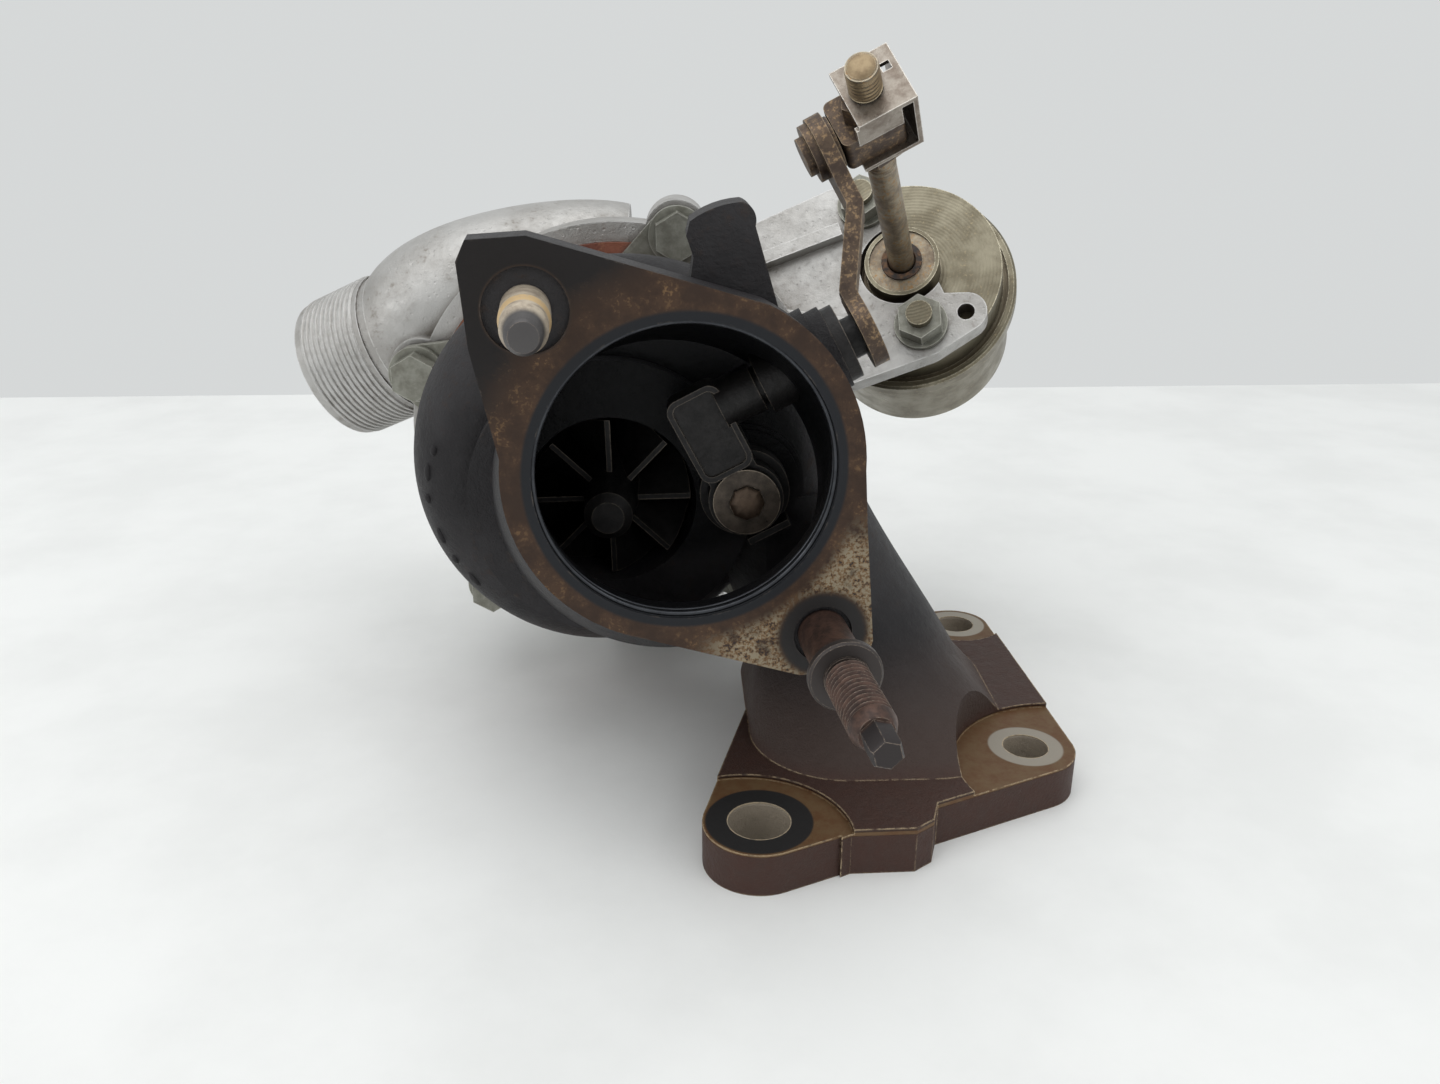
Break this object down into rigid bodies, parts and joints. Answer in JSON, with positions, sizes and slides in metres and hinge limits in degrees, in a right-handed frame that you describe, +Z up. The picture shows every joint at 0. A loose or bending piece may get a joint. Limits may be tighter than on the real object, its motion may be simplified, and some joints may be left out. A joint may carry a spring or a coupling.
{
  "type": "turbocharger",
  "caption": "Exhaust turbocharger with an internal wastegate, a vacuum actuator on the compressor side and a foot flange for the manifold.",
  "frame": {"origin": "centre of the exhaust inlet port on the manifold mating face", "axes": "+Z up off the manifold face; the rotor's axis is parallel to Y and the compressor is towards +Y; the exhaust outlet faces -Y"},
  "size_m": [0.1849, 0.196, 0.1481],
  "materials": {
    "turbine_iron": "dark oxidised casting",
    "core_iron": "rust brown casting",
    "cast_aluminium": "as cast",
    "milled_aluminium": "milled",
    "stud_steel": "heat-tinted and rusty",
    "heat_steel": "sooty heat-resisting steel",
    "lever_steel": "brown oxide",
    "clip_steel": "bright sheet",
    "rod_steel": "worn zinc",
    "can_plate": "olive zinc plating",
    "zinc_steel": "dull zinc plating",
    "bearing_steel": "ground",
    "bearing_bronze": "bearing bronze",
    "seal_rubber": "rubber"
  },
  "bodies": {
    "housing": {"actuator_diaphragm": "seal_rubber", "actuator_front_cup": "can_plate", "actuator_nuts": "zinc_steel", "actuator_rear_cup": "can_plate", "actuator_spring": "bearing_steel", "actuator_studs": "can_plate", "bearing_pin": "bearing_steel", "centre_housing": "core_iron", "clamp_plates": "zinc_steel", "compressor_bolts": "zinc_steel", "compressor_housing": "cast_aluminium", "compressor_seal_ring": "bearing_steel", "heat_shield": "heat_steel", "housing_o_ring": "seal_rubber", "hub_ring": "rod_steel", "journal_bearing": "bearing_bronze", "oil_baffle": "bearing_steel", "outlet_stud_long": "stud_steel", "outlet_stud_short": "stud_steel", "rod_seal": "seal_rubber", "seal_plate": "bearing_steel", "thrust_bearing": "bearing_bronze", "turbine_bolts": "zinc_steel", "turbine_housing": "turbine_iron", "turbine_seal_ring": "bearing_steel", "vacuum_nipple": "can_plate", "wastegate_bush": "heat_steel"},
    "wastegate": {"wastegate_arm": "heat_steel", "wastegate_flap": "heat_steel", "flap_washer": "heat_steel", "wastegate_lever": "lever_steel", "lever_pin": "lever_steel", "pin_washer": "lever_steel"},
    "rod_assembly": {"actuator_rod": "rod_steel", "actuator_piston": "rod_steel", "clevis_block": "lever_steel", "lock_clip": "clip_steel", "adjusting_nut": "lever_steel", "lock_nut": "lever_steel"},
    "rotor": {"turbine_wheel": "heat_steel", "thrust_collar": "bearing_steel", "oil_flinger": "bearing_steel", "compressor_wheel": "milled_aluminium", "shaft_nut": "bearing_steel"}
  },
  "joints": [
    {"name": "rotor_spin", "type": "hinge", "parent": "housing", "child": "rotor", "pos_m": [-0.0605, 0, 0.062], "axis": [0, 1, 0], "continuous": true},
    {"name": "wastegate_swing", "type": "hinge", "parent": "housing", "child": "wastegate", "pos_m": [-0.0425, -0.0195, 0.0818], "axis": [-0.8886, 0, -0.4586], "range_deg": [0, 25]},
    {"name": "rod_stroke", "type": "slide", "parent": "housing", "child": "rod_assembly", "axis": [0.2812, 0.7901, -0.5447], "range_m": [0, 0.01515], "deforming": ["actuator_spring", "actuator_diaphragm"]}
  ],
  "couplings": [
    {"joint": "rod_stroke", "follows": "wastegate_swing", "m_per_rad": 0.034723}
  ]
}
